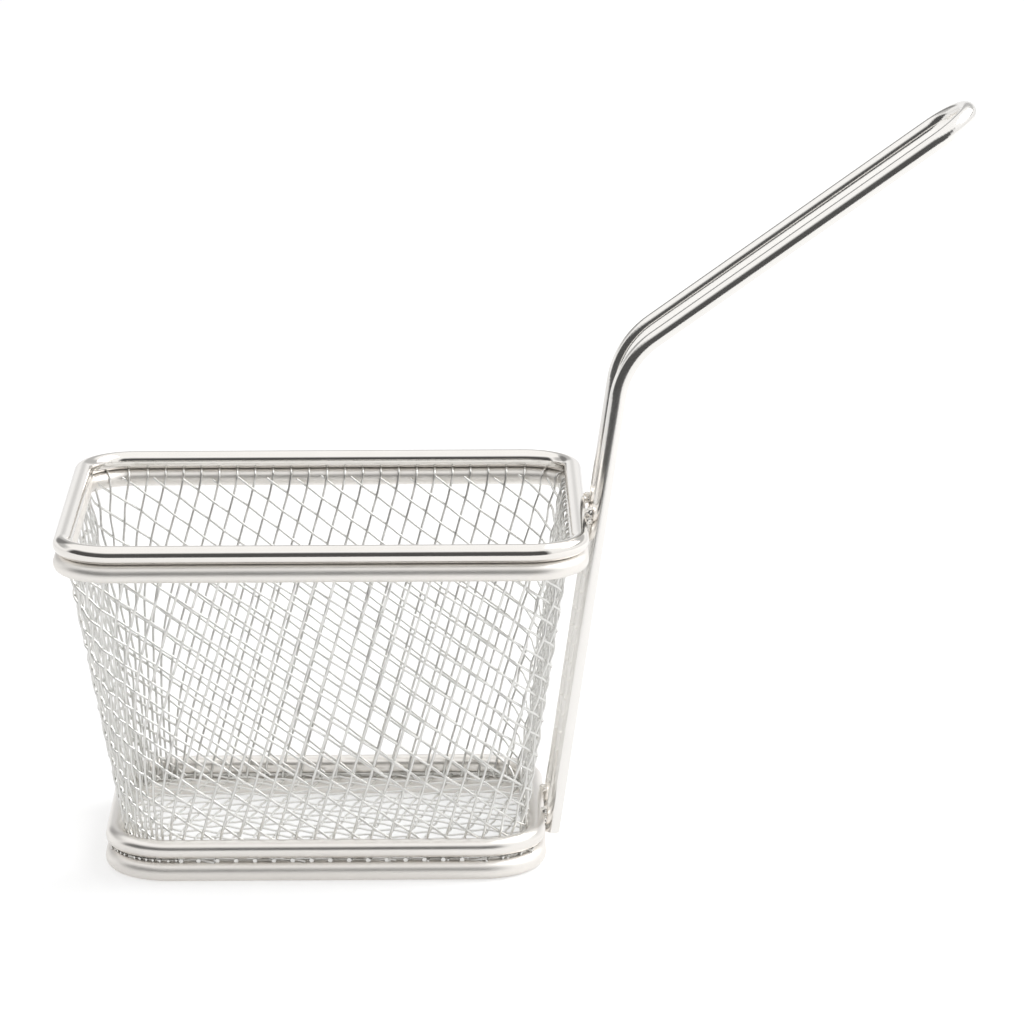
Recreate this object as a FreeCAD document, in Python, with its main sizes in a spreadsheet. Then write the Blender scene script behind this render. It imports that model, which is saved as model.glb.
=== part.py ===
import FreeCAD, Part
import math
import os
import Sketcher

from FreeCAD import Placement, Rotation, Vector

# Fry serving basket of welded round wire and woven wire mesh.
# Two stacked wire rings make the rim and two make the base. The mesh basket hangs inside them,
# with its floor clamped between the base rings. One bent wire with two legs and an end loop is
# the handle, welded to one short side.
# Frame: X along the basket to the handle, Y across it, Z up, origin on the table under its middle.

os.makedirs("parts", exist_ok=True)
doc = FreeCAD.newDocument("fry_serving_basket")

# Driving sizes in millimetres and degrees

SIZES = [
    ("rim_length", 125.0, "outside of the rim along X"),
    ("rim_width", 100.0, "outside of the rim along Y"),
    ("rim_corner", 14.5, "outside corner radius of the rim in plan"),
    ("base_length", 105.0, "outside of the base along X"),
    ("base_width", 74.0, "outside of the base along Y"),
    ("base_corner", 16.0, "outside corner radius of the base in plan"),
    ("basket_height", 85.2, "table to the top of the rim"),
    ("ring_wire", 4.3, "diameter of the rim and base wires"),
    ("ring_gap", 0.2, "between the two rim rings"),
    ("mesh_thick", 1.2, "two crossing mesh wires"),
    ("seat_gap", 0.1, "between the mesh and a ring that it lies on"),
    ("flange_inset", 1.2, "floor edge inside the outer side of the base rings"),
    ("handle_wire", 4.0, "diameter of the handle wire"),
    ("leg_spacing", 21.3, "between the centres of the two legs"),
    ("weld_gap", 0.2, "between a leg and the ring that it is welded to"),
    ("foot_level", 4.0, "lower end of the legs above the table"),
    ("bend_level", 120.6, "where the lines of leg and grip meet, above the table"),
    ("bend_radius", 21.2, "of the wire's centre at the bend"),
    ("grip_angle", 35.1, "grip above the horizontal"),
    ("grip_length", 89.8, "from that meeting point to the end loop"),
    ("bead_depth", 2.1, "half width of a weld bead along the ring"),
    ("bead_reach", 2.4, "half length of a weld bead out from the ring, and half its height"),
    ("bar_width", 1.2, "width of one ridge of the mesh"),
    ("bar_thick", 0.7, "thickness of one ridge of the mesh"),
    ("upright_pitch", 9.0, "between upright ridges, measured along the wall"),
    ("cross_pitch", 10.8, "between cross ridges, measured up the wall"),
    ("steep_angle", 76.0, "upright ridges of the long walls, above the horizontal"),
    ("shallow_angle", 33.5, "cross ridges of the long walls, below the horizontal"),
    ("floor_pitch", 9.0, "between the ridges of the floor"),
    ("floor_turn", 12.0, "floor ridges turned from the sides"),
    ("mesh_border", 1.0, "plain strip between a ring and the first gaps"),
]

sheet = doc.addObject("Spreadsheet::Sheet", "Sizes")
for row, (alias, value, meaning) in enumerate(SIZES, start=1):
    sheet.set(f"A{row}", meaning)
    sheet.set(f"B{row}", str(value))
    sheet.setAlias(f"B{row}", alias)
doc.recompute()


def value_of(expression):
    """The number that an expression in the sheet's names comes to."""
    return float(sheet.evalExpression(expression))


# Levels of the ring centres and of the floor's underside

RIM_TOP = "Sizes.basket_height - Sizes.ring_wire / 2"
RIM_LOW = "Sizes.basket_height - Sizes.ring_wire * 1.5 - Sizes.ring_gap"
BASE_LOW = "Sizes.ring_wire / 2"
FLOOR = "Sizes.ring_wire + Sizes.seat_gap"
BASE_TOP = "Sizes.ring_wire * 1.5 + Sizes.mesh_thick + Sizes.seat_gap * 2"


# Rings of round wire

def add_sketch(body, name, role):
    """A sketch on one of the body's own planes."""
    plane = next(item for item in body.Origin.OriginFeatures if item.Role == role)
    sketch = body.newObject("Sketcher::SketchObject", name)
    sketch.AttachmentSupport = [(plane, "")]
    sketch.MapMode = "FlatFace"
    return sketch


def bind(sketch, kind, ends, expression):
    """A dimension of the sketch that follows an expression."""
    number = sketch.addConstraint(Sketcher.Constraint(kind, *ends, value_of(expression)))
    sketch.setExpression(f"Constraints[{number}]", expression)


def draw_rounded_rectangle(sketch, half_x, half_y, corner):
    """Four corner arcs, then the four sides between them, centred on the sketch's origin."""
    x, y, r = value_of(half_x), value_of(half_y), value_of(corner)
    centres = [(x - r, r - y), (x - r, y - r), (r - x, y - r), (r - x, r - y)]
    starts = []
    for i, (cx, cy) in enumerate(centres):
        first, last = math.radians(90 * i - 90), math.radians(90 * i)
        circle = Part.Circle(Vector(cx, cy, 0), Vector(0, 0, 1), r)
        sketch.addGeometry(Part.ArcOfCircle(circle, first, last))
        starts.append((circle.value(first), circle.value(last)))
    for i in range(4):
        sketch.addGeometry(Part.LineSegment(starts[i][1], starts[(i + 1) % 4][0]))
    for i in range(4):
        sketch.addConstraint(Sketcher.Constraint("Tangent", i, 2, 4 + i, 1))
        sketch.addConstraint(Sketcher.Constraint("Tangent", 4 + i, 2, (i + 1) % 4, 1))
        sketch.addConstraint(Sketcher.Constraint(("Vertical", "Horizontal")[i % 2], 4 + i))
    for i in (1, 2, 3):
        sketch.addConstraint(Sketcher.Constraint("Equal", 0, i))
    bind(sketch, "Radius", (0,), corner)
    bind(sketch, "DistanceX", (-1, 1, 4, 1), half_x)
    bind(sketch, "DistanceX", (6, 1, -1, 1), half_x)
    bind(sketch, "DistanceY", (-1, 1, 5, 1), half_y)
    bind(sketch, "DistanceY", (7, 1, -1, 1), half_y)


def add_ring(label, plan, level):
    """One closed ring: a round section swept along a rounded rectangle at one level."""
    half_x = f"(Sizes.{plan}_length - Sizes.ring_wire) / 2"
    half_y = f"(Sizes.{plan}_width - Sizes.ring_wire) / 2"
    body = doc.addObject("PartDesign::Body", label)
    path = add_sketch(body, label + "_path", "XY_Plane")
    draw_rounded_rectangle(path, half_x, half_y, f"Sizes.{plan}_corner - Sizes.ring_wire / 2")
    path.setExpression("AttachmentOffset.Base.z", level)
    section = add_sketch(body, label + "_section", "YZ_Plane")
    centre = Vector(-value_of(half_y), value_of(level), 0)
    radius = value_of("Sizes.ring_wire / 2")
    circle = section.addGeometry(Part.Circle(centre, Vector(0, 0, 1), radius))
    bind(section, "DistanceX", (circle, 3, -1, 1), half_y)
    bind(section, "DistanceY", (-1, 1, circle, 3), level)
    bind(section, "Diameter", (circle,), "Sizes.ring_wire")
    pipe = body.newObject("PartDesign::AdditivePipe", label + "_pipe")
    pipe.Profile = section
    pipe.Spine = path
    body.Tip = pipe
    return body


rim_top_ring = add_ring("rim_top_ring", "rim", RIM_TOP)
rim_lower_ring = add_ring("rim_lower_ring", "rim", RIM_LOW)
base_upper_ring = add_ring("base_upper_ring", "base", BASE_TOP)
base_lower_ring = add_ring("base_lower_ring", "base", BASE_LOW)


# Handle of one bent wire, with a weld bead where each leg meets the rim and the base

rise = value_of(f"({RIM_LOW}) - ({BASE_TOP})")
spread = value_of("(Sizes.rim_length - Sizes.base_length) / 2")
lean = math.atan2(spread, rise)
leg_offset = value_of("Sizes.weld_gap + Sizes.handle_wire / 2") / math.cos(lean)
leg_offset += value_of("Sizes.ring_wire / 2") * (1 / math.cos(lean) - 1)


def leg_x(level):
    """Where a leg's centre line is at one level: it passes both stacks of rings at weld_gap."""
    outer_side = value_of("Sizes.base_length / 2")
    return outer_side + leg_offset + (level - value_of(BASE_TOP)) * math.tan(lean)


def handle_path():
    """Foot, leg, bend, grip and half the end loop, then the same back to the other foot."""
    grip = math.radians(value_of("Sizes.grip_angle"))
    radius = value_of("Sizes.bend_radius")
    half = value_of("Sizes.leg_spacing / 2")
    foot_level = value_of("Sizes.foot_level")
    meeting = Vector(leg_x(value_of("Sizes.bend_level")), 0, value_of("Sizes.bend_level"))
    up_leg = Vector(math.sin(lean), 0, math.cos(lean))
    up_grip = Vector(math.cos(grip), 0, math.sin(grip))
    turn = math.pi / 2 - lean - grip
    cut_back = radius * math.tan(turn / 2)
    foot = Vector(leg_x(foot_level), 0, foot_level)
    bend_start = meeting - up_leg * cut_back
    bend_end = meeting + up_grip * cut_back
    inward = (up_grip - up_leg).normalize()
    bend_centre = meeting + inward * (radius / math.cos(turn / 2))
    bend_middle = bend_centre - inward * radius
    loop_start = meeting + up_grip * value_of("Sizes.grip_length")
    side = Vector(0, half, 0)
    near = [Part.LineSegment(foot - side, bend_start - side),
            Part.Arc(bend_start - side, bend_middle - side, bend_end - side),
            Part.LineSegment(bend_end - side, loop_start - side)]
    loop = Part.Arc(loop_start - side, loop_start + up_grip * half, loop_start + side)
    far = [Part.LineSegment(loop_start + side, bend_end + side),
           Part.Arc(bend_end + side, bend_middle + side, bend_start + side),
           Part.LineSegment(bend_start + side, foot + side)]
    return Part.Wire([curve.toShape() for curve in near + [loop] + far])


path = doc.addObject("Part::Feature", "handle_path")
path.Shape = handle_path()
section = doc.addObject("Part::Circle", "handle_section")
section.setExpression("Radius", "Sizes.handle_wire / 2")
section.Placement = Placement(path.Shape.Vertexes[0].Point, Rotation(Vector(0, 1, 0), math.degrees(lean)))
bent_wire = doc.addObject("Part::Sweep", "handle_wire")
bent_wire.Sections = [section]
bent_wire.Spine = (path, [f"Edge{n + 1}" for n in range(len(path.Shape.Edges))])
bent_wire.Solid = True


def add_bead(name, side, plan, level):
    """A flattened bead of weld metal in the angle between one leg and one ring."""
    bead = doc.addObject("Part::Ellipsoid", name)
    bead.setExpression("Radius1", "Sizes.bead_reach")
    bead.setExpression("Radius2", "Sizes.bead_depth")
    bead.setExpression("Radius3", "Sizes.bead_reach")
    ring_side = value_of(f"Sizes.{plan}_length / 2")
    leg_side = leg_x(value_of(level)) - value_of("Sizes.handle_wire / 2")
    half = value_of("Sizes.leg_spacing / 2")
    bead.Placement.Base = Vector((ring_side + leg_side) / 2, side * half, value_of(level))
    return bead


beads = [add_bead(f"{plan}_bead_{name}", side, plan, level)
         for plan, level in (("rim", RIM_TOP), ("base", BASE_TOP))
         for name, side in (("near", -1), ("far", 1))]
welded_wire = doc.addObject("Part::MultiFuse", "handle_with_beads")
welded_wire.Shapes = [bent_wire] + beads
seated = doc.addObject("Part::Cut", "handle_under_rim")
seated.Base = welded_wire
seated.Tool = rim_top_ring
handle = doc.addObject("Part::Cut", "handle")
handle.Base = seated
handle.Tool = base_upper_ring
doc.recompute()


# Mesh tub in nine parts, each of crossing ridges: two long walls, two short walls, the four round
# corners between them and the floor. Upright ridges lie outside and cross ridges inside.

thick = value_of("Sizes.mesh_thick")
bar, bar_half = value_of("Sizes.bar_thick"), value_of("Sizes.bar_width / 2")
border = value_of("Sizes.mesh_border")
rim_low, base_top, floor_under = value_of(RIM_LOW), value_of(BASE_TOP), value_of(FLOOR)
floor_over = floor_under + thick
mesh_top = rim_low + value_of("Sizes.ring_wire / 2")
gaps_low = base_top + value_of("Sizes.ring_wire / 2") + border
gaps_high = rim_low - value_of("Sizes.ring_wire / 2") - border
far_out = value_of("Sizes.rim_length + Sizes.rim_width")
wall_corner = value_of("max(Sizes.rim_corner; Sizes.base_corner) - Sizes.ring_wire")


def wall_half(side, level):
    """Half the outside length or width of the walls at one level, clear of the rings."""
    inside = {plan: value_of(f"Sizes.{plan}_{side} / 2 - Sizes.ring_wire / 2") for plan in ("rim", "base")}
    slope = (inside["rim"] - inside["base"]) / (rim_low - base_top)
    slack = value_of("Sizes.ring_wire / 2 + Sizes.seat_gap") * math.hypot(1, slope)
    return inside["base"] - slack + slope * (level - base_top)


def tapered_block(inset):
    """What the walls enclose, from the top of the floor to the mesh edge: flat sides, round corners."""
    low, high = ([wall_half(side, level) - inset for side in ("length", "width")]
                 for level in (floor_over, mesh_top))
    block = Part.makeWedge(-low[0], floor_over, -low[1], -high[1], -high[0],
                           low[0], mesh_top, low[1], high[1], high[0])
    block.rotate(Vector(0, 0, 0), Vector(1, 0, 0), 90)
    upright = [edge for edge in block.Edges if edge.BoundBox.ZLength > thick]
    return block.makeFillet(wall_corner - inset, upright)


def wall_layer(outer, inner):
    """The walls between two insets."""
    return tapered_block(outer).cut(tapered_block(inner))


def flat_stretch(side, low, high, wider):
    """Where a wall is flat, as a face in X and Z, made wider or narrower at both ends."""
    reach = [wall_half(side, level) - wall_corner + wider for level in (low, high)]
    points = [(-reach[0], low), (reach[0], low), (reach[1], high), (-reach[1], high), (-reach[0], low)]
    return Part.Face(Part.makePolygon([Vector(x, 0, z) for x, z in points]))


def stripes(window, angle, pitch, along):
    """Parallel strips at one angle, clipped to a face in X and Z."""
    box = window.BoundBox
    reach = box.DiagonalLength
    step = Vector(pitch, 0, 0) if along else Vector(0, 0, pitch)
    count = math.ceil(reach / pitch)
    strips = []
    for i in range(-count, count + 1):
        strip = Part.makePlane(2 * reach, 2 * bar_half, Vector(-reach, 0, bar_half),
                               Vector(0, 1, 0), Vector(1, 0, 0))
        strip.rotate(Vector(0, 0, 0), Vector(0, 1, 0), -angle)
        strip.translate(box.Center + step * i)
        strips.append(strip.common(window))
    return Part.makeCompound([strip for strip in strips if strip.Area > 0])


def push_through(face, turned):
    """A face in X and Z pushed through both opposite walls, or turned to the short walls first."""
    solid = face.extrude(Vector(0, 2 * far_out, 0))
    solid.translate(Vector(0, -far_out, 0))
    if turned:
        solid.rotate(Vector(0, 0, 0), Vector(0, 0, 1), 90)
    return solid


layers = {"all": wall_layer(0, thick), "outer": wall_layer(0, bar), "inner": wall_layer(thick - bar, thick)}


def make_walls(side, turned, upright_angle, cross_angle):
    """Two opposite walls: a plain edge all round, filled with upright and cross ridges."""
    whole = push_through(flat_stretch(side, floor_over, mesh_top, 0), turned)
    window = flat_stretch(side, gaps_low, gaps_high, -border)
    edge = layers["all"].common(whole).cut(push_through(window, turned))
    upright = stripes(window, upright_angle, value_of("Sizes.upright_pitch"), True)
    cross = stripes(window, cross_angle, value_of("Sizes.cross_pitch"), False)
    ridges = [layers["outer"].common(push_through(upright, turned)),
              layers["inner"].common(push_through(cross, turned))]
    return edge.fuse(ridges).removeSplitter().Solids


def make_corners():
    """Four round corners: a plain edge, one upright ridge down the middle and level cross ridges."""
    sides = (("length", False), ("width", True))
    outside = Part.makeBox(2 * far_out, 2 * far_out, mesh_top, Vector(-far_out, -far_out, 0))
    window = Part.makeBox(2 * far_out, 2 * far_out, gaps_high - gaps_low, Vector(-far_out, -far_out, gaps_low))
    for side, turned in sides:
        outside = outside.cut(push_through(flat_stretch(side, floor_over, mesh_top, 0), turned))
        window = window.cut(push_through(flat_stretch(side, gaps_low, gaps_high, border), turned))
    middle = wall_corner * math.sin(math.pi / 4)
    narrow, wide = (push_through(flat_stretch("length", gaps_low, gaps_high, middle + step), False)
                    for step in (-bar_half, bar_half))
    upright = window.common(wide.cut(narrow))
    pitch = value_of("Sizes.cross_pitch")
    centre = (gaps_low + gaps_high) / 2
    count = math.floor((gaps_high - gaps_low) / 2 / pitch)
    cross = [Part.makeBox(2 * far_out, 2 * far_out, 2 * bar_half,
                          Vector(-far_out, -far_out, centre + i * pitch - bar_half))
             for i in range(-count, count + 1)]
    ridges = [layers["outer"].common(upright), layers["inner"].common(window).common(cross)]
    edge = layers["all"].common(outside).cut(window)
    return edge.fuse(ridges).removeSplitter().Solids


def outline(half_x, half_y, corner):
    """A rounded rectangle as a face in X and Z."""
    centres = [(half_x - corner, corner - half_y), (half_x - corner, half_y - corner),
               (corner - half_x, half_y - corner), (corner - half_x, corner - half_y)]
    arcs = [Part.Arc(Part.Circle(Vector(x, y, 0), Vector(0, 0, 1), corner),
                     math.radians(90 * i - 90), math.radians(90 * i))
            for i, (x, y) in enumerate(centres)]
    sides = [Part.LineSegment(arc.EndPoint, arcs[(i + 1) % 4].StartPoint) for i, arc in enumerate(arcs)]
    face = Part.Face(Part.Wire([curve.toShape() for pair in zip(arcs, sides) for curve in pair]))
    face.rotate(Vector(0, 0, 0), Vector(1, 0, 0), 90)
    return face


def lay_down(face, low, high):
    """A face in X and Z as a flat sheet between two heights above the floor's underside."""
    sheet_solid = face.extrude(Vector(0, high - low, 0))
    sheet_solid.rotate(Vector(0, 0, 0), Vector(1, 0, 0), 90)
    sheet_solid.translate(Vector(0, 0, floor_under + low))
    return sheet_solid


def make_floor():
    """The floor: its edge lies between the base rings, and its ridges run a little askew."""
    inset = value_of("Sizes.flange_inset")
    whole = outline(value_of("Sizes.base_length / 2") - inset, value_of("Sizes.base_width / 2") - inset,
                    value_of("Sizes.base_corner") - inset)
    window = outline(wall_half("length", floor_over) - thick - border,
                     wall_half("width", floor_over) - thick - border, wall_corner - thick - border)
    turn, pitch = value_of("Sizes.floor_turn"), value_of("Sizes.floor_pitch")
    upper = lay_down(stripes(window, 90 + turn, pitch, True), thick - bar, thick)
    lower = lay_down(stripes(window, turn, pitch, False), 0, bar)
    return lay_down(whole.cut(window), 0, thick).fuse([upper, lower]).removeSplitter()


def add_mesh(label, shape):
    """A part of the mesh as an object of its own."""
    item = doc.addObject("Part::Feature", label)
    item.Shape = shape
    return item


steep, shallow = value_of("Sizes.steep_angle"), -value_of("Sizes.shallow_angle")
front, back = sorted(make_walls("length", False, steep, shallow), key=lambda solid: solid.CenterOfMass.y)
left, right = sorted(make_walls("width", True, 90, 0), key=lambda solid: solid.CenterOfMass.x)
corners = {(solid.CenterOfMass.x > 0, solid.CenterOfMass.y > 0): solid for solid in make_corners()}
mesh_parts = [
    add_mesh("front_mesh", front),
    add_mesh("back_mesh", back),
    add_mesh("left_mesh", left),
    add_mesh("right_mesh", right),
    add_mesh("front_left_corner_mesh", corners[False, False]),
    add_mesh("front_right_corner_mesh", corners[True, False]),
    add_mesh("back_left_corner_mesh", corners[False, True]),
    add_mesh("back_right_corner_mesh", corners[True, True]),
    add_mesh("floor_mesh", make_floor()),
]
doc.recompute()


# Each piece is checked, then written to its own file

pieces = [rim_top_ring, rim_lower_ring, base_upper_ring, base_lower_ring, handle, *mesh_parts]
for item in doc.Objects:
    if {"Invalid", "Error"} & set(item.State):
        raise RuntimeError(f"{item.Label} did not recompute: {item.State}")
for piece in pieces:
    shape = piece.Shape
    if shape.isNull() or not shape.isValid():
        raise RuntimeError(f"{piece.Label} has no valid shape")
    shape.exportStep(f"parts/{piece.Label}.step")
    print(f"{piece.Label}: {len(shape.Solids)} solid, {shape.Volume:.0f} cubic mm")
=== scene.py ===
# %% [markdown]
# # A fry serving basket of wire
#
# The basket is all wire: two thick rings round the mouth, two round the base, one bent wire
# for the handle and a tub of woven mesh that hangs between them. This notebook bends each
# thick wire as a workshop does, from straight runs and round bends, and weaves the mesh
# wire by wire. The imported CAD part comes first, because every piece has to sit where it does.

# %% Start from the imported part
import math

import bmesh
import bpy
from mathutils import Matrix, Vector


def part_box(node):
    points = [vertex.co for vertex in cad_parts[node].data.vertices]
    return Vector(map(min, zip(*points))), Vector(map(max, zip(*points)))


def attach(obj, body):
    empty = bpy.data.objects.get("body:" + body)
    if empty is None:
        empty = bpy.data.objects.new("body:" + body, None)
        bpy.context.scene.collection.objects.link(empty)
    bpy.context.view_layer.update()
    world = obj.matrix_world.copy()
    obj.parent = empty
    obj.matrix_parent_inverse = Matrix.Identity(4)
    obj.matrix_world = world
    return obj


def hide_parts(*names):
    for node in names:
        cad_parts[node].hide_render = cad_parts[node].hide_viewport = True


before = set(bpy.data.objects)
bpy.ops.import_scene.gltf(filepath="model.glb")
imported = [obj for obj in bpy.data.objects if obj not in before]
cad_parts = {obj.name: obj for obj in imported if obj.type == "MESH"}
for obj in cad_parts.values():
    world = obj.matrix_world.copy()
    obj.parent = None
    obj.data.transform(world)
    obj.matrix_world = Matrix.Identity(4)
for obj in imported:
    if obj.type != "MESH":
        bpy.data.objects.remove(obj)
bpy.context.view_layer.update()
print("nodes:", ", ".join(sorted(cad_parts)))

# %% [markdown]
# ## Sizes
#
# All lengths are in millimetres here and become metres only when a piece is made. The rings'
# places are read from the CAD part, so they can't drift away from it. A ring is a rounded
# rectangle: its half length and half width run to the middle of the wire. The two gaps are
# those of the CAD part: between mesh and ring, and between a leg and the ring it is welded to.

# %% Read the rings from the CAD part
MM = 0.001
RING_WIRE = 4.3
HANDLE_WIRE = 4.0
SEAT_GAP, WELD_GAP = 0.1, 0.2
RIM_CORNER, BASE_CORNER = 12.35, 13.85


def ring_facts(node, corner):
    """Half length, half width, corner radius and level of a ring's middle line, in mm."""
    low, high = (Vector(point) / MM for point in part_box(node))
    return {
        "half_x": (high.x - low.x - RING_WIRE) / 2,
        "half_y": (high.y - low.y - RING_WIRE) / 2,
        "corner": corner,
        "level": (low.z + high.z) / 2,
    }


rings = {
    "rim_top_ring": ring_facts("rim_top_ring", RIM_CORNER),
    "rim_lower_ring": ring_facts("rim_lower_ring", RIM_CORNER),
    "base_upper_ring": ring_facts("base_upper_ring", BASE_CORNER),
    "base_lower_ring": ring_facts("base_lower_ring", BASE_CORNER),
}
for name, facts in rings.items():
    print(name, {key: round(value, 2) for key, value in facts.items()})

# %% [markdown]
# ## The camera
#
# The photograph is taken from a little above, from far away and with a long lens, so the
# long sides look nearly parallel. These numbers came from fitting the four rings and the
# handle to the picture. The camera looks at one point between basket and handle.

# %% Camera
LOOK_AT = Vector((45.0, 0.0, 81.0))
DISTANCE = 1227.1
LOOK_DOWN, LOOK_ASIDE, ROLL = 13.926, 0.655, -0.135
LENS_PER_SENSOR = 5109.5 / 1024
SENSOR_WIDTH = 36.0
NEAREST, FARTHEST = 0.05, 20.0


def add_camera():
    """A long lens that looks along +Y, a little down."""
    down, aside, roll = (math.radians(angle) for angle in (LOOK_DOWN, LOOK_ASIDE, ROLL))
    flat = math.cos(down)
    ahead = Vector((math.sin(aside) * flat, math.cos(aside) * flat, -math.sin(down)))
    right = Vector((math.cos(aside), -math.sin(aside), 0.0))
    up = right.cross(ahead)
    turned_right = right * math.cos(roll) + up * math.sin(roll)
    turned_up = up * math.cos(roll) - right * math.sin(roll)
    data = bpy.data.cameras.new("camera")
    data.sensor_width = SENSOR_WIDTH
    data.lens = SENSOR_WIDTH * LENS_PER_SENSOR
    data.clip_start, data.clip_end = NEAREST, FARTHEST
    camera = bpy.data.objects.new("camera", data)
    bpy.context.scene.collection.objects.link(camera)
    place = (LOOK_AT - ahead * DISTANCE) * MM
    turn = Matrix((turned_right, turned_up, -ahead)).transposed()
    camera.matrix_world = Matrix.Translation(place) @ turn.to_4x4()
    return camera


bpy.context.scene.camera = add_camera()
print("camera at", [round(value, 3) for value in bpy.context.scene.camera.location])

# %% [markdown]
# ## Bending wire
#
# A wire is a round section that is pushed along a line. In bmesh that is a circle of vertices
# whose edges are extruded for a straight run and spun about an axis for a bend. Both leave the
# new end section behind, so runs and bends follow each other as they do on a bending machine.

# %% Wire helpers
SIDES = 32
MERGE_WITHIN = 0.00001


def start_wire(shape, centre, along, diameter):
    """A circle of edges across the wire's first direction."""
    turn = Vector((0, 0, 1)).rotation_difference(along).to_matrix().to_4x4()
    place = Matrix.Translation(centre * MM) @ turn
    made = bmesh.ops.create_circle(shape, segments=SIDES, radius=diameter / 2 * MM, matrix=place)
    return list({edge for vertex in made["verts"] for edge in vertex.link_edges})


def run(shape, section, step):
    """A straight run: the section is extruded and moved."""
    made = bmesh.ops.extrude_edge_only(shape, edges=section)["geom"]
    ends = [item for item in made if isinstance(item, bmesh.types.BMVert)]
    bmesh.ops.translate(shape, verts=ends, vec=step * MM)
    return [item for item in made if isinstance(item, bmesh.types.BMEdge)
            and all(vertex in ends for vertex in item.verts)]


def bend(shape, section, centre, axis, degrees, steps):
    """A round bend: the section is spun about an axis."""
    made = bmesh.ops.spin(shape, geom=section, cent=centre * MM, axis=axis, dvec=(0, 0, 0),
                          angle=math.radians(degrees), steps=steps, use_duplicate=False)
    return [item for item in made["geom_last"] if isinstance(item, bmesh.types.BMEdge)]


def close_end(shape, section):
    """A flat cap on a wire's end, with a sharp rim so that it doesn't bend the wire's shading."""
    bmesh.ops.contextual_create(shape, geom=section)
    for edge in section:
        edge.smooth = False


def finish_piece(name, shape, materials):
    """Closes the seams, points the faces outwards and makes a smooth object of the mesh."""
    bmesh.ops.remove_doubles(shape, verts=shape.verts, dist=MERGE_WITHIN)
    bmesh.ops.recalc_face_normals(shape, faces=shape.faces)
    mesh = bpy.data.meshes.new(name)
    shape.to_mesh(mesh)
    shape.free()
    mesh.polygons.foreach_set("use_smooth", [True] * len(mesh.polygons))
    for material in materials:
        mesh.materials.append(material)
    piece = bpy.data.objects.new(name, mesh)
    bpy.context.scene.collection.objects.link(piece)
    triangles = sum(len(polygon.vertices) - 2 for polygon in mesh.polygons)
    print(f"{name}: {triangles} triangles")
    return piece


# %% [markdown]
# ## Polished steel
#
# The thick wires are drawn and polished stainless steel. What one sees is almost only
# reflection: a wide bright band of the studio, a thin dark line of the room behind the camera,
# and a trace of fine lines left by the die, which run along the wire. The group below gives
# cloudy patches and fine specks in their place, not lines. It works from Object coordinates, so it
# stays on the wire from every side.

# %% Surface marks, shared by all steel
def make_surface_marks():
    """A node group: cloudy patches and fine specks as a colour, a roughness and a height."""
    group = bpy.data.node_groups.new("surface_marks", "ShaderNodeTree")
    for label, kind, value in (("Light", "NodeSocketColor", (0.8, 0.8, 0.8, 1)),
                               ("Dull", "NodeSocketColor", (0.7, 0.7, 0.7, 1)),
                               ("Patch Scale", "NodeSocketFloat", 90.0),
                               ("Speck Scale", "NodeSocketFloat", 900.0),
                               ("Smooth", "NodeSocketFloat", 0.1),
                               ("Rough", "NodeSocketFloat", 0.2)):
        socket = group.interface.new_socket(label, in_out="INPUT", socket_type=kind)
        socket.default_value = value
    for label, kind in (("Color", "NodeSocketColor"), ("Roughness", "NodeSocketFloat"),
                        ("Height", "NodeSocketFloat")):
        group.interface.new_socket(label, in_out="OUTPUT", socket_type=kind)
    nodes, links = group.nodes, group.links
    given, result = nodes.new("NodeGroupInput"), nodes.new("NodeGroupOutput")
    place = nodes.new("ShaderNodeTexCoord")
    patches, specks = nodes.new("ShaderNodeTexNoise"), nodes.new("ShaderNodeTexNoise")
    patches.inputs["Detail"].default_value = 3.0
    specks.inputs["Detail"].default_value = 2.0
    links.new(place.outputs["Object"], patches.inputs["Vector"])
    links.new(place.outputs["Object"], specks.inputs["Vector"])
    links.new(given.outputs["Patch Scale"], patches.inputs["Scale"])
    links.new(given.outputs["Speck Scale"], specks.inputs["Scale"])
    tint = nodes.new("ShaderNodeMix")
    tint.data_type = "RGBA"
    links.new(patches.outputs["Fac"], tint.inputs["Factor"])
    links.new(given.outputs["Dull"], tint.inputs["A"])
    links.new(given.outputs["Light"], tint.inputs["B"])
    links.new(tint.outputs["Result"], result.inputs["Color"])
    spread = nodes.new("ShaderNodeMapRange")
    links.new(patches.outputs["Fac"], spread.inputs["Value"])
    links.new(given.outputs["Smooth"], spread.inputs["To Min"])
    links.new(given.outputs["Rough"], spread.inputs["To Max"])
    links.new(spread.outputs["Result"], result.inputs["Roughness"])
    links.new(specks.outputs["Fac"], result.inputs["Height"])
    return group


surface_marks = make_surface_marks()
print("group:", surface_marks.name)


# %% Steel material
BUMP_HEIGHT = 0.00002


def steel(name, light, dull, smooth, rough, patch_scale, speck_scale, relief):
    """A metal whose colour, gloss and fine relief come from the surface marks."""
    material = bpy.data.materials.new(name)
    material.use_nodes = True
    nodes, links = material.node_tree.nodes, material.node_tree.links
    shader = nodes["Principled BSDF"]
    shader.inputs["Metallic"].default_value = 1.0
    marks = nodes.new("ShaderNodeGroup")
    marks.node_tree = surface_marks
    marks.inputs["Light"].default_value = (*light, 1)
    marks.inputs["Dull"].default_value = (*dull, 1)
    marks.inputs["Patch Scale"].default_value = patch_scale
    marks.inputs["Speck Scale"].default_value = speck_scale
    marks.inputs["Smooth"].default_value = smooth
    marks.inputs["Rough"].default_value = rough
    links.new(marks.outputs["Color"], shader.inputs["Base Color"])
    links.new(marks.outputs["Roughness"], shader.inputs["Roughness"])
    bump = nodes.new("ShaderNodeBump")
    bump.inputs["Strength"].default_value = relief
    bump.inputs["Distance"].default_value = BUMP_HEIGHT
    links.new(marks.outputs["Height"], bump.inputs["Height"])
    links.new(bump.outputs["Normal"], shader.inputs["Normal"])
    return material


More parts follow.
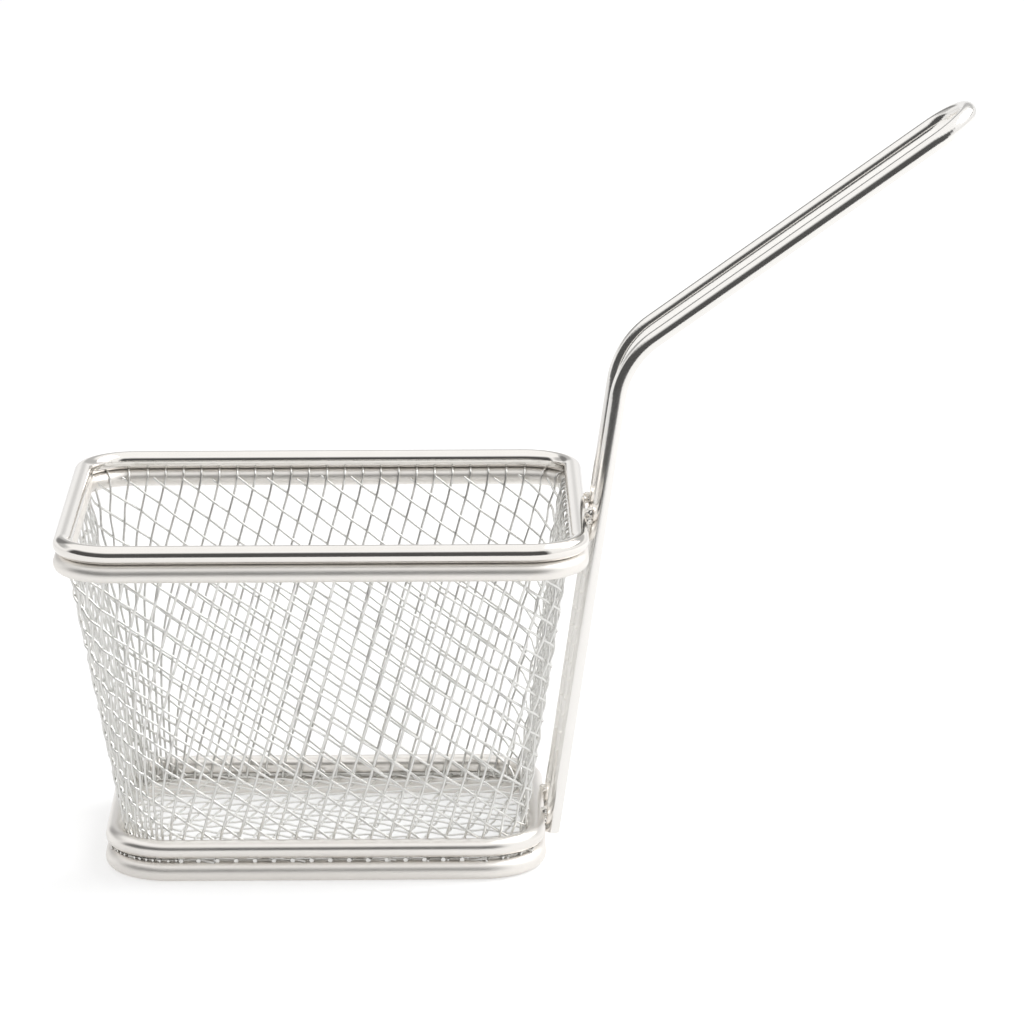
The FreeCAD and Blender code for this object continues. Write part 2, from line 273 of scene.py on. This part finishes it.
# %% [markdown]
# Each steel has a light and a dull tone, its least and most roughness, the scales of patches
# and specks, and how much relief the specks give. The low rings are the dullest, because the
# picture shows only a soft line on them.

# %% The steels
STEELS = {
    "top_ring_steel": ((0.96, 0.93, 0.89), (0.90, 0.87, 0.83), 0.08, 0.14, 120.0, 2500.0, 0.2),
    "base_ring_steel": ((0.97, 0.94, 0.90), (0.92, 0.89, 0.85), 0.26, 0.34, 120.0, 2500.0, 0.2),
    "low_ring_steel": ((0.98, 0.95, 0.91), (0.93, 0.90, 0.86), 0.40, 0.50, 120.0, 2500.0, 0.25),
    "handle_steel": ((0.97, 0.95, 0.92), (0.91, 0.89, 0.86), 0.12, 0.20, 110.0, 2500.0, 0.2),
    "mesh_steel": ((0.91, 0.905, 0.88), (0.79, 0.785, 0.76), 0.24, 0.36, 220.0, 3000.0, 0.3),
    # The floor's steel is the walls' mesh wire in a lighter tone: painted light that lifts the
    # shade among the floor's wires.
    "floor_wire_painted_lighter": ((0.97, 0.965, 0.94), (0.88, 0.875, 0.85), 0.30, 0.42, 220.0, 3000.0, 0.3),
    "weld_steel": ((0.94, 0.92, 0.88), (0.72, 0.69, 0.65), 0.12, 0.28, 420.0, 1500.0, 0.5),
}
steels = {name: steel(name, *look) for name, look in STEELS.items()}
print("steels:", ", ".join(steels))

# %% [markdown]
# ## The four rings
#
# Each ring is one wire, bent four times and closed with a butt weld. It could be a curve with
# a bevel, but runs and quarter bends are exact and keep the sections square to the wire. The
# picture shows no light between two neighbours, so each ring is 0.1 to 0.5 mm thicker than the
# CAD part's, and its middle moves towards the neighbour by half of that. This is for the picture
# and no reading of the wire's gauge.

# %% Rings
CORNER_STEPS = 20


def add_ring(name, facts, material, nearer):
    """Four runs and four quarter bends, closed on itself, thicker towards its neighbour."""
    half_x, half_y, corner = facts["half_x"], facts["half_y"], facts["corner"]
    shape = bmesh.new()
    direction = Vector((1, 0, 0))
    place = Vector((corner - half_x, -half_y, facts["level"] + nearer))
    section = start_wire(shape, place, direction, RING_WIRE + 2 * abs(nearer))
    for side in (half_x, half_y, half_x, half_y):
        step = direction * 2 * (side - corner)
        section = run(shape, section, step)
        place = place + step
        inward = Vector((-direction.y, direction.x, 0))
        section = bend(shape, section, place + inward * corner, (0, 0, 1), 90, CORNER_STEPS)
        place = place + (inward + direction) * corner
        direction = inward
    return finish_piece(name, shape, [material])


RING_LOOKS = {
    "rim_top_ring": ("top_ring_steel", -0.05),
    "rim_lower_ring": ("low_ring_steel", 0.05),
    "base_upper_ring": ("base_ring_steel", -0.1),
    "base_lower_ring": ("low_ring_steel", 0.25),
}
for node, facts in rings.items():
    look, nearer = RING_LOOKS[node]
    ring = add_ring(node.replace("ring", "wire"), facts, steels[look], nearer)
    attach(ring, "root")
    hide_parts(node)

# %% [markdown]
# ## The handle
#
# One wire starts at a foot, goes up past both stacks of rings, bends over to the grip, turns
# back on itself in the end loop and comes down the same way, by the same two moves as before.
# The sizes were read from the picture once more after the CAD part was packed, so the legs are
# 1.7 mm closer together than in the CAD part, lean a little more and carry a steeper grip.

# %% Handle path
HALF_SPACING = 9.8
FOOT_LEVEL, BEND_LEVEL = 4.0, 120.0
BEND_RADIUS, GRIP_ANGLE, GRIP_LENGTH = 21.2, 35.5, 90.1
MORE_LEAN = 0.34
ELBOW_STEPS, LOOP_STEPS = 18, 40
rise = rings["rim_lower_ring"]["level"] - rings["base_upper_ring"]["level"]
spread = rings["rim_lower_ring"]["half_x"] - rings["base_upper_ring"]["half_x"]
lean = math.atan2(spread, rise) + math.radians(MORE_LEAN)


def leg_x(level):
    """Where a leg's middle line is at one level."""
    beside = (WELD_GAP + (RING_WIRE + HANDLE_WIRE) / 2) / math.cos(lean)
    above_base = level - rings["base_upper_ring"]["level"]
    return rings["base_upper_ring"]["half_x"] + beside + above_base * math.tan(lean)


def add_handle():
    """Leg, bend and grip up one side, the end loop, and the same down the other side."""
    grip = math.radians(GRIP_ANGLE)
    up_leg = Vector((math.sin(lean), 0, math.cos(lean)))
    up_grip = Vector((math.cos(grip), 0, math.sin(grip)))
    turn = math.pi / 2 - lean - grip
    cut_back = BEND_RADIUS * math.tan(turn / 2)
    meeting = Vector((leg_x(BEND_LEVEL), 0, BEND_LEVEL))
    foot = Vector((leg_x(FOOT_LEVEL), 0, FOOT_LEVEL))
    side = Vector((0, -HALF_SPACING, 0))
    to_bend = (meeting - foot).length - cut_back
    to_loop = GRIP_LENGTH - cut_back
    bend_centre = meeting - up_leg * cut_back + Vector((up_leg.z, 0, -up_leg.x)) * BEND_RADIUS
    loop_centre = meeting + up_grip * GRIP_LENGTH
    loop_axis = up_grip.cross(Vector((0, 1, 0)))
    shape = bmesh.new()
    section = start_wire(shape, foot + side, up_leg, HANDLE_WIRE)
    close_end(shape, section)
    section = run(shape, section, up_leg * to_bend)
    section = bend(shape, section, bend_centre + side, (0, 1, 0), math.degrees(turn), ELBOW_STEPS)
    section = run(shape, section, up_grip * to_loop)
    section = bend(shape, section, loop_centre, loop_axis, 180, LOOP_STEPS)
    section = run(shape, section, -up_grip * to_loop)
    section = bend(shape, section, bend_centre - side, (0, -1, 0), math.degrees(turn), ELBOW_STEPS)
    section = run(shape, section, -up_leg * to_bend)
    close_end(shape, section)
    return shape


handle_shape = add_handle()
print("handle: leg leans", round(math.degrees(lean), 2), "degrees")

# %% [markdown]
# ## Weld beads
#
# Where a leg touches a ring, a spot weld has melted the two together into a small lump. A ball
# that is flattened and swollen here and there by a few waves has that look. Three of them, at
# their heights, distances out and sizes, make a bead. They are part of the handle's own mesh,
# with weld metal as its second material. Each bead has its ring, side, scale and lift.

# %% Weld beads on the legs
BEAD_SLANT = 0.3
BEAD_LUMPS = [(0.9, 0.1, 1.35), (-0.8, -0.2, 1.25), (0.1, 0.5, 1.0)]
BEADS = [("rim_top_ring", -1, 1.0, -0.8), ("rim_top_ring", 1, 0.55, -1.0),
         ("base_upper_ring", -1, 1.0, 0.0), ("base_upper_ring", 1, 0.85, 0.0)]


def add_bead(shape, centre, reach, seed):
    """A small uneven lump of metal."""
    made = bmesh.ops.create_icosphere(shape, subdivisions=4, radius=1.0)["verts"]
    for vertex in made:
        swell = 1 + 0.10 * math.sin(5 * vertex.co.z + seed) * math.cos(4 * vertex.co.x + 2 * seed)
        swell += 0.05 * math.sin(11 * vertex.co.y + 3 * seed)
        vertex.co *= swell
    bmesh.ops.scale(shape, verts=made, vec=reach * MM)
    bmesh.ops.translate(shape, verts=made, vec=centre * MM)
    for face in {face for vertex in made for face in vertex.link_faces}:
        face.material_index = 1


for seed, (node, side, scale, lift) in enumerate(BEADS):
    facts = rings[node]
    ring_side = facts["half_x"] + RING_WIRE / 2
    middle = (ring_side + leg_x(facts["level"]) - HANDLE_WIRE / 2) / 2
    for drop, out, size in BEAD_LUMPS:
        beside = side * (HALF_SPACING - BEAD_SLANT * drop)
        centre = Vector((middle + out, beside, facts["level"] + drop + lift))
        add_bead(handle_shape, centre, Vector((size, size, 0.9 * size)) * scale, seed + drop)
metals = [steels["handle_steel"], steels["weld_steel"]]
handle = finish_piece("handle_wire_bent", handle_shape, metals)
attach(handle, "root")
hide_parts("handle")

# %% [markdown]
# ## The shape that the mesh follows
#
# The mesh hangs inside the rings, so its walls lean out and its corners are round. A point of
# the wall is given by its level and by its distance round from the middle of the front, less
# than zero to the left. The back half is the mirror image of the front half. The left end is
# pulled out a little towards the rim, about half as far as the picture seems to show.

# %% The wall as a surface
MESH_WIRE, FLOOR_WIRE = 0.64, 0.56
LEFT_BULGE = 1.6
WALL_TOP, WALL_FOOT = 79.6, 5.9
FLOOR_LEVEL = 5.0
rim, base = rings["rim_lower_ring"], rings["base_upper_ring"]


def between(low, high, level):
    """A size at one level, from its values at the base ring and the rim ring."""
    return low + (high - low) * (level - base["level"]) / (rim["level"] - base["level"])


def wall_size(level):
    """Half length, half width and corner radius of the middle of the mesh."""
    inside = RING_WIRE / 2 + SEAT_GAP + MESH_WIRE
    return (between(base["half_x"], rim["half_x"], level) - inside,
            between(base["half_y"], rim["half_y"], level) - inside,
            between(base["corner"], rim["corner"], level) - inside)


def wall_parts(level):
    """Lengths of half an end, a corner and half the front at one level."""
    half_x, half_y, corner = wall_size(level)
    return half_y - corner, corner * math.pi / 2, half_x - corner


def plain_wall_point(around, level):
    """A point of the front half and its outward direction, with both ends alike."""
    half_x, half_y, corner = wall_size(level)
    _, bend_length, front = wall_parts(level)
    side = 1 if around >= 0 else -1
    past_front = abs(around) - front
    if past_front <= 0:
        return Vector((around, -half_y, level)), Vector((0, -1, 0))
    if past_front < bend_length:
        angle = past_front / corner
        outward = Vector((side * math.sin(angle), -math.cos(angle), 0))
        return Vector((side * front, corner - half_y, level)) + outward * corner, outward
    along_end = corner - half_y + past_front - bend_length
    return Vector((side * half_x, along_end, level)), Vector((side, 0, 0))


def wall_point(around, level):
    """The same, with the left end pulled out a little."""
    place, outward = plain_wall_point(around, level)
    pulled = LEFT_BULGE * (level - WALL_FOOT) / (WALL_TOP - WALL_FOOT)
    return place + Vector((pulled * min(outward.x, 0), 0, 0)), outward


print("wall round at the top:", round(4 * sum(wall_parts(WALL_TOP)), 1), "mm")

# %% [markdown]
# ## How the weave lies on the walls
#
# The mesh was woven square and then pulled into the tub, which has slanted it. On both long
# sides the upright wires lean towards the handle and the cross wires fall towards it. On the
# short ends they run upright and level. Between the two they turn round the corners, where the
# upright wires crowd together, because the tub is narrower at the base.
#
# Wires are counted by u, the upright ones, and by v, the cross ones. Two functions turn a count
# into a place: upright wires first get their distance round the wall, then each crossing gets
# its level.

# %% The weave's own coordinates
SPACING, LEVEL_STEP = 4.46, 5.19
LEAN, FALL = 0.29, 0.74
UPRIGHTS = 44
EASE_LEVELS, EASE_COUNT = (-5, -2.5, 0, 2.5, 5), 0.8
HALVINGS, SEARCH_BEYOND = 22, 8


def front_place(u, level):
    """Distance from the front's middle for a wire that lies on the flat front."""
    return (u - UPRIGHTS / 2) * SPACING - LEAN * (WALL_TOP - level)


def place_round(u, level):
    """Distance from the front's middle for any upright wire, crowded together in the corners."""
    end, bend_length, front = wall_parts(level)
    on_end = end / SPACING
    left, right = (UPRIGHTS / 2 + (side * front + LEAN * (WALL_TOP - level)) / SPACING
                   for side in (-1, 1))
    if left <= u <= right:
        return front_place(u, level)
    if u < on_end:
        return -(front + bend_length + end) + u * SPACING
    if u > UPRIGHTS - on_end:
        return front + bend_length + end - (UPRIGHTS - u) * SPACING
    if u < left:
        return -front - bend_length * (left - u) / (left - on_end)
    return front + bend_length * (u - right) / (UPRIGHTS - on_end - right)


def eased_place(u, level):
    """The same, with the sharp turns at the corners' edges rounded off."""
    levels = [min(max(level + step, WALL_FOOT), WALL_TOP) for step in EASE_LEVELS]
    counts = [min(max(u + step, 0), UPRIGHTS) for step in (-EASE_COUNT, 0, EASE_COUNT)]
    if u <= EASE_COUNT or u >= UPRIGHTS - EASE_COUNT:
        counts = [u]
    places = [place_round(count, height) for count in counts for height in levels]
    return sum(places) / len(places)


def fallen(around, level):
    """How far a cross wire has fallen at this place, against the middle of the front."""
    end, bend_length, front = wall_parts(level)
    if abs(around) <= front:
        return FALL * around
    reach = bend_length + end
    share = min((abs(around) - front) / reach, 1.0)
    more = reach * (share / 2 + math.sin(math.pi * share) / (2 * math.pi))
    return math.copysign(FALL * (front + more), around)


def cross_count(u, level):
    """Which cross wire passes here."""
    return (level + fallen(eased_place(u, level), level)) / LEVEL_STEP


def level_of(u, v):
    """The level where upright wire u meets cross wire v, found by halving."""
    low, high = WALL_FOOT - SEARCH_BEYOND, WALL_TOP + SEARCH_BEYOND
    for _ in range(HALVINGS):
        middle = (low + high) / 2
        if cross_count(u, middle) < v:
            low = middle
        else:
            high = middle
    return (low + high) / 2


first_cross, last_cross = cross_count(0, WALL_FOOT), cross_count(UPRIGHTS, WALL_TOP)
print("cross wires from", round(first_cross, 1), "to", round(last_cross, 1))

# %% [markdown]
# ## Weaving the walls
#
# Every wire passes over one neighbour and under the next. Here that is a cosine along the wire,
# as high as half the wire, with its sign changed from one wire to the next. Wires are curves
# with a round bevel, the simplest way to thousands of small bends, and become one mesh.

# %% Woven wire helpers
def add_thread(curve, points, blob=1.0):
    """One wire of the weave, as a chain of points in mm, and how much thicker its last two are."""
    thread = curve.splines.new("POLY")
    thread.points.add(len(points) - 1)
    thread.points.foreach_set("co", [value for point in points for value in (*(point * MM), 1.0)])
    for point in thread.points[-2:]:
        point.radius = blob


def new_weave(name, diameter):
    """A curve object's data with the mesh wire's round section."""
    curve = bpy.data.curves.new(name, "CURVE")
    curve.dimensions = "3D"
    curve.bevel_depth = diameter / 2 * MM
    curve.bevel_resolution = 1
    curve.use_fill_caps = True
    return curve


def weave_to_piece(name, curve, material, nodes):
    """Turns the curves into one mesh object that stands for some of the CAD tub's nodes."""
    holder = bpy.data.objects.new(name + "_curve", curve)
    mesh = bpy.data.meshes.new_from_object(holder)
    bpy.data.objects.remove(holder)
    mesh.name = name
    mesh.polygons.foreach_set("use_smooth", [True] * len(mesh.polygons))
    mesh.materials.clear()
    mesh.materials.append(material)
    piece = bpy.data.objects.new(name, mesh)
    bpy.context.scene.collection.objects.link(piece)
    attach(piece, "root")
    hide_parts(*nodes)
    triangles = sum(len(polygon.vertices) - 2 for polygon in mesh.polygons)
    print(f"{name}: {len(curve.splines)} wires, {triangles} triangles")
    return piece


def woven_point(u, level, over, mirrored):
    """A point on the wall, lifted by its share of half a wire, on the front or the back half."""
    point, outward = wall_point(eased_place(u, level), level)
    point = point + outward * (over * MESH_WIRE / 2)
    if mirrored:
        point.y = -point.y
    return point


# %% Upright wires
wall_curve = new_weave("wall_weave", MESH_WIRE)
UPRIGHT_STEPS = 56
TOP_STEPS = ((1.6, 1.15), (1.0, 1.1), (0.45, 0.8))
FOOT_STEPS = ((0.5, -0.6), (1.4, -0.9), (3.2, -0.9), (3.5, -0.85), (4.0, -0.85))
PRESSED_WIDER = 1.8


def turned_out(u, level, steps, mirrored):
    """The last points of a wire, by how far out and up they lie from the wall at one level."""
    place, outward = wall_point(eased_place(u, level), level)
    if mirrored:
        place.y, outward.y = -place.y, -outward.y
    return [place + outward * out + Vector((0, 0, up)) for out, up in steps]


def end_blob(u):
    """How much thicker a wire's pinched end is: on the straight sides it is pressed flat."""
    _, _, front = wall_parts(WALL_FOOT)
    return PRESSED_WIDER if abs(place_round(u, WALL_FOOT)) < front else 1.0


def upright_wire(u, mirrored):
    """A wire from between the rim rings down the wall, then out between the base rings."""
    points = turned_out(u, WALL_TOP, TOP_STEPS, mirrored)
    for step in range(UPRIGHT_STEPS + 1):
        level = WALL_TOP + (WALL_FOOT - WALL_TOP) * step / UPRIGHT_STEPS
        over = math.cos(math.pi * (cross_count(u, level) + u))
        points.append(woven_point(u, level, over, mirrored))
    return points + turned_out(u, WALL_FOOT, FOOT_STEPS, mirrored)


for u in range(UPRIGHTS + 1):
    add_thread(wall_curve, upright_wire(u, False), end_blob(u))
    if 0 < u < UPRIGHTS:
        add_thread(wall_curve, upright_wire(u, True), end_blob(u))
print("upright wires:", len(wall_curve.splines))

# %% Cross wires
PARTS_PER_CELL = 3
FOOT_SLACK, TOP_SLACK = 0.3, 0.2


def cross_wires(v, mirrored):
    """The stretches of one cross wire that lie between the foot and the top of the wall."""
    stretches, points = [], []
    for part in range(UPRIGHTS * PARTS_PER_CELL + 1):
        u = part / PARTS_PER_CELL
        level = level_of(u, v)
        if WALL_FOOT - FOOT_SLACK <= level <= WALL_TOP - TOP_SLACK:
            over = -math.cos(math.pi * (v + u))
            points.append(woven_point(u, level, over, mirrored))
        elif points:
            stretches.append(points)
            points = []
    if points:
        stretches.append(points)
    return [stretch for stretch in stretches if len(stretch) > 2]


for v in range(math.ceil(first_cross) - 1, math.floor(last_cross) + 2):
    for mirrored in (False, True):
        for stretch in cross_wires(v, mirrored):
            add_thread(wall_curve, stretch)
mesh_nodes = {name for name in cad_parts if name.endswith("_mesh")}
wall_nodes = sorted(mesh_nodes - {"floor_mesh"})
weave_to_piece("wall_weave", wall_curve, steels["mesh_steel"], wall_nodes)
print("stands for:", ", ".join(wall_nodes))

# %% [markdown]
# ## Weaving the floor
#
# The floor is flat. Its wire is a little thinner than the walls', chosen so that the floor is
# about as light as in the picture. Its steel is also painted lighter than the walls' mesh steel:
# painted light that lifts the shade among the floor's wires and on the table seen through them.
# The wires run nearly along and across the basket, turned a little. Their ends are pinched
# between the two base rings, with two wires of a folded edge that run round. The pale dots in
# that gap are the pressed ends of the walls' upright wires.

# %% Floor wires
floor_curve = new_weave("floor_weave", FLOOR_WIRE)
FLOOR_TURN, FLOOR_SPACING, FLOOR_INSET = 12.0, 4.5, 0.9
FARTHEST_WIRE, FARTHEST_PART, HEM_STEPS = 16, 110, 8
floor_x = base["half_x"] + RING_WIRE / 2 - FLOOR_INSET
floor_y = base["half_y"] + RING_WIRE / 2 - FLOOR_INSET
floor_corner = base["corner"] + RING_WIRE / 2 - FLOOR_INSET
HEM = [(1.6, 4.9), (2.4, 5.5)]


def on_floor(point):
    """Whether a point is inside the rounded outline of the floor."""
    over_x = max(abs(point.x) - (floor_x - floor_corner), 0)
    over_y = max(abs(point.y) - (floor_y - floor_corner), 0)
    return math.hypot(over_x, over_y) <= floor_corner


def floor_wire(number, along, across, sign):
    """One wire of the floor, from edge to edge, over and under its neighbours."""
    points = []
    for part in range(-FARTHEST_PART, FARTHEST_PART + 1):
        count = part / PARTS_PER_CELL
        point = across * (number * FLOOR_SPACING) + along * (count * FLOOR_SPACING)
        if on_floor(point):
            over = sign * math.cos(math.pi * (count + number))
            points.append(Vector((point.x, point.y, FLOOR_LEVEL + over * FLOOR_WIRE / 2)))
    return points


def hem_wire(inset, level):
    """A wire of the folded edge that runs round between the base rings."""
    reach_x, reach_y, corner = floor_x - inset, floor_y - inset, floor_corner - inset
    points = []
    for side_x, side_y, start in ((1, -1, -90), (1, 1, 0), (-1, 1, 90), (-1, -1, 180)):
        centre = Vector((side_x * (reach_x - corner), side_y * (reach_y - corner), level))
        for step in range(HEM_STEPS + 1):
            angle = math.radians(start + 90 * step / HEM_STEPS)
            points.append(centre + Vector((math.cos(angle), math.sin(angle), 0)) * corner)
    return points + points[:1]


for inset, level in HEM:
    add_thread(floor_curve, hem_wire(inset, level))
turn = math.radians(FLOOR_TURN)
first = Vector((math.cos(turn), -math.sin(turn), 0))
second = Vector((math.sin(turn), math.cos(turn), 0))
for number in range(-FARTHEST_WIRE, FARTHEST_WIRE + 1):
    for along, across, sign in ((first, second, 1), (second, first, -1)):
        wire = floor_wire(number, along, across, sign)
        if len(wire) > 2:
            add_thread(floor_curve, wire)
# The floor's steel is painted lighter than the walls' to lift the shade that falls on the floor.
weave_to_piece("floor_weave", floor_curve, steels["floor_wire_painted_lighter"], ["floor_mesh"])

# %% [markdown]
# ## Floor and studio light
#
# The basket stands on a pale table that ends a little in front of it. The table takes the
# shadow, and a glow that only the camera and mirrored rays see lifts it to white, so that it
# gives no more light to the basket's matt side.

# %% White table
FLOOR_HALF, FLOOR_FRONT = 3.0, -0.34
FLOOR_GREY = 0.6
GLOW_SEEN, GLOW_MIRRORED = 0.52, 0.33


def add_white_floor():
    """A wide pale plane that takes the basket's shadow and runs off to white."""
    shape = bmesh.new()
    bmesh.ops.create_grid(shape, x_segments=1, y_segments=1, size=FLOOR_HALF)
    bmesh.ops.translate(shape, verts=shape.verts, vec=(0, FLOOR_HALF + FLOOR_FRONT, 0))
    mesh = bpy.data.meshes.new("table")
    shape.to_mesh(mesh)
    shape.free()
    material = bpy.data.materials.new("table_white")
    material.use_nodes = True
    nodes, links = material.node_tree.nodes, material.node_tree.links
    shader, output = nodes["Principled BSDF"], nodes["Material Output"]
    shader.inputs["Base Color"].default_value = (FLOOR_GREY, FLOOR_GREY, FLOOR_GREY, 1)
    shader.inputs["Roughness"].default_value = 0.8
    shader.inputs["Specular IOR Level"].default_value = 0.0
    glow, together = nodes.new("ShaderNodeEmission"), nodes.new("ShaderNodeAddShader")
    rays = nodes.new("ShaderNodeLightPath")
    seen, mirrored = nodes.new("ShaderNodeMath"), nodes.new("ShaderNodeMath")
    seen.operation, mirrored.operation = "MULTIPLY", "MULTIPLY_ADD"
    links.new(rays.outputs["Is Camera Ray"], seen.inputs[0])
    seen.inputs[1].default_value = GLOW_SEEN
    links.new(rays.outputs["Is Glossy Ray"], mirrored.inputs[0])
    mirrored.inputs[1].default_value = GLOW_MIRRORED
    links.new(seen.outputs["Value"], mirrored.inputs[2])
    links.new(mirrored.outputs["Value"], glow.inputs["Strength"])
    links.new(shader.outputs["BSDF"], together.inputs[0])
    links.new(glow.outputs["Emission"], together.inputs[1])
    links.new(together.outputs["Shader"], output.inputs["Surface"])
    mesh.materials.append(material)
    table = bpy.data.objects.new("table", mesh)
    bpy.context.scene.collection.objects.link(table)
    return table


print("stage:", add_white_floor().name)

# %% [markdown]
# ## The studio in the reflections
#
# Polished wire shows the room around it, and only mirrored rays see this room. The camera sees
# plain white and matt light is the same from everywhere. Overhead the room is bright. In front,
# beyond the table's edge, it is dark, low and wide, which draws the dark line along each wire's
# middle. Two more dark places stand behind: one wide and low, one small, high and to the left.
# They were placed for the lines of the picture, so from other sides they are a guess.
#
# A dark place has a direction, a ramp by how far a ray points that way, a ramp by its height,
# and its own grey.

# %% World
BRIGHT_BY_HEIGHT = [(0.0, 0.97), (0.50, 0.90), (0.62, 0.95), (0.75, 1.0), (1.0, 1.0)]
DARK_PLACES = {
    "room": ((-0.42, -0.906, 0.0),
             [(0.30, 0.0), (0.48, 1.0)],
             [(0.48, 1.0), (0.68, 0.0)], 0.075),
    "behind": ((0.0, 1.0, 0.0),
               [(0.1, 0.0), (0.4, 1.0)],
               [(0.20, 0.0), (0.28, 1.0), (0.52, 1.0), (0.64, 0.0)], 0.5),
    "behind left": ((-0.458, 0.785, 0.414),
                    [(0.955, 0.0), (0.985, 1.0)],
                    [(0.0, 1.0), (1.0, 1.0)], 0.22),
}
PLAIN_LIGHT = 0.75


def ramp_node(nodes, links, source, stops):
    """A colour ramp in greys, read by a value from 0 to 1."""
    ramp = nodes.new("ShaderNodeValToRGB")
    elements = ramp.color_ramp.elements
    while len(elements) < len(stops):
        elements.new(0.5)
    for element, (position, grey) in zip(elements, stops):
        element.position, element.color = position, (grey, grey, grey, 1)
    links.new(source, ramp.inputs["Fac"])
    return ramp.outputs["Color"]


def darkened(nodes, links, colour, place, height, facts):
    """Mixes one dark place into the studio, by its side and its height."""
    direction, side_stops, height_stops, level = facts
    towards, share, mix = (nodes.new("ShaderNode" + kind) for kind in ("VectorMath", "Math", "Mix"))
    towards.operation, share.operation, mix.data_type = "DOT_PRODUCT", "MULTIPLY", "RGBA"
    towards.inputs[1].default_value = direction
    links.new(place, towards.inputs[0])
    links.new(ramp_node(nodes, links, towards.outputs["Value"], side_stops), share.inputs[0])
    links.new(ramp_node(nodes, links, height, height_stops), share.inputs[1])
    links.new(share.outputs["Value"], mix.inputs["Factor"])
    links.new(colour, mix.inputs["A"])
    mix.inputs["B"].default_value = (level, level, level, 1)
    return mix.outputs["Result"]


def light_world():
    """White to the camera, the studio to reflections, plain light to the rest."""
    world = bpy.data.worlds.new("studio")
    bpy.context.scene.world = world
    world.use_nodes = True
    nodes, links = world.node_tree.nodes, world.node_tree.links
    nodes.clear()
    output, place, split, half, rays = (nodes.new("ShaderNode" + kind) for kind in (
        "OutputWorld", "TexCoord", "SeparateXYZ", "MapRange", "LightPath"))
    links.new(place.outputs["Generated"], split.inputs["Vector"])
    half.inputs["From Min"].default_value = -1.0
    half.inputs["From Max"].default_value = 1.0
    links.new(split.outputs["Z"], half.inputs["Value"])
    colour = ramp_node(nodes, links, half.outputs["Result"], BRIGHT_BY_HEIGHT)
    for facts in DARK_PLACES.values():
        colour = darkened(nodes, links, colour, place.outputs["Generated"],
                          split.outputs["Z"], facts)
    plain, shown, white = (nodes.new("ShaderNodeBackground") for _ in range(3))
    plain.inputs["Color"].default_value = white.inputs["Color"].default_value = (1, 1, 1, 1)
    plain.inputs["Strength"].default_value = PLAIN_LIGHT
    links.new(colour, shown.inputs["Color"])
    gloss, seen = nodes.new("ShaderNodeMixShader"), nodes.new("ShaderNodeMixShader")
    links.new(rays.outputs["Is Glossy Ray"], gloss.inputs["Fac"])
    links.new(plain.outputs["Background"], gloss.inputs[1])
    links.new(shown.outputs["Background"], gloss.inputs[2])
    links.new(rays.outputs["Is Camera Ray"], seen.inputs["Fac"])
    links.new(gloss.outputs["Shader"], seen.inputs[1])
    links.new(white.outputs["Background"], seen.inputs[2])
    links.new(seen.outputs["Shader"], output.inputs["Surface"])
    return world


print("world:", light_world().name)


# %% [markdown]
# ## One lamp
#
# A large softbox stands high at the right. It throws the soft shadow to the left.

# %% Softbox
def add_softbox(name, place, aim, size, power):
    """A square area lamp that points at the basket."""
    data = bpy.data.lights.new(name, "AREA")
    data.shape = "SQUARE"
    data.size = size
    data.energy = power
    lamp = bpy.data.objects.new(name, data)
    bpy.context.scene.collection.objects.link(lamp)
    lamp.location = place
    lamp.rotation_euler = (Vector(aim) - Vector(place)).to_track_quat("-Z", "Y").to_euler()
    return lamp


lamp = add_softbox("top_softbox", (0.75, 0.2, 0.9), (0.0, 0, 0.02), 0.9, 7.5)
print("lamp:", lamp.name)

bpy.context.scene.view_settings.view_transform = "Standard"
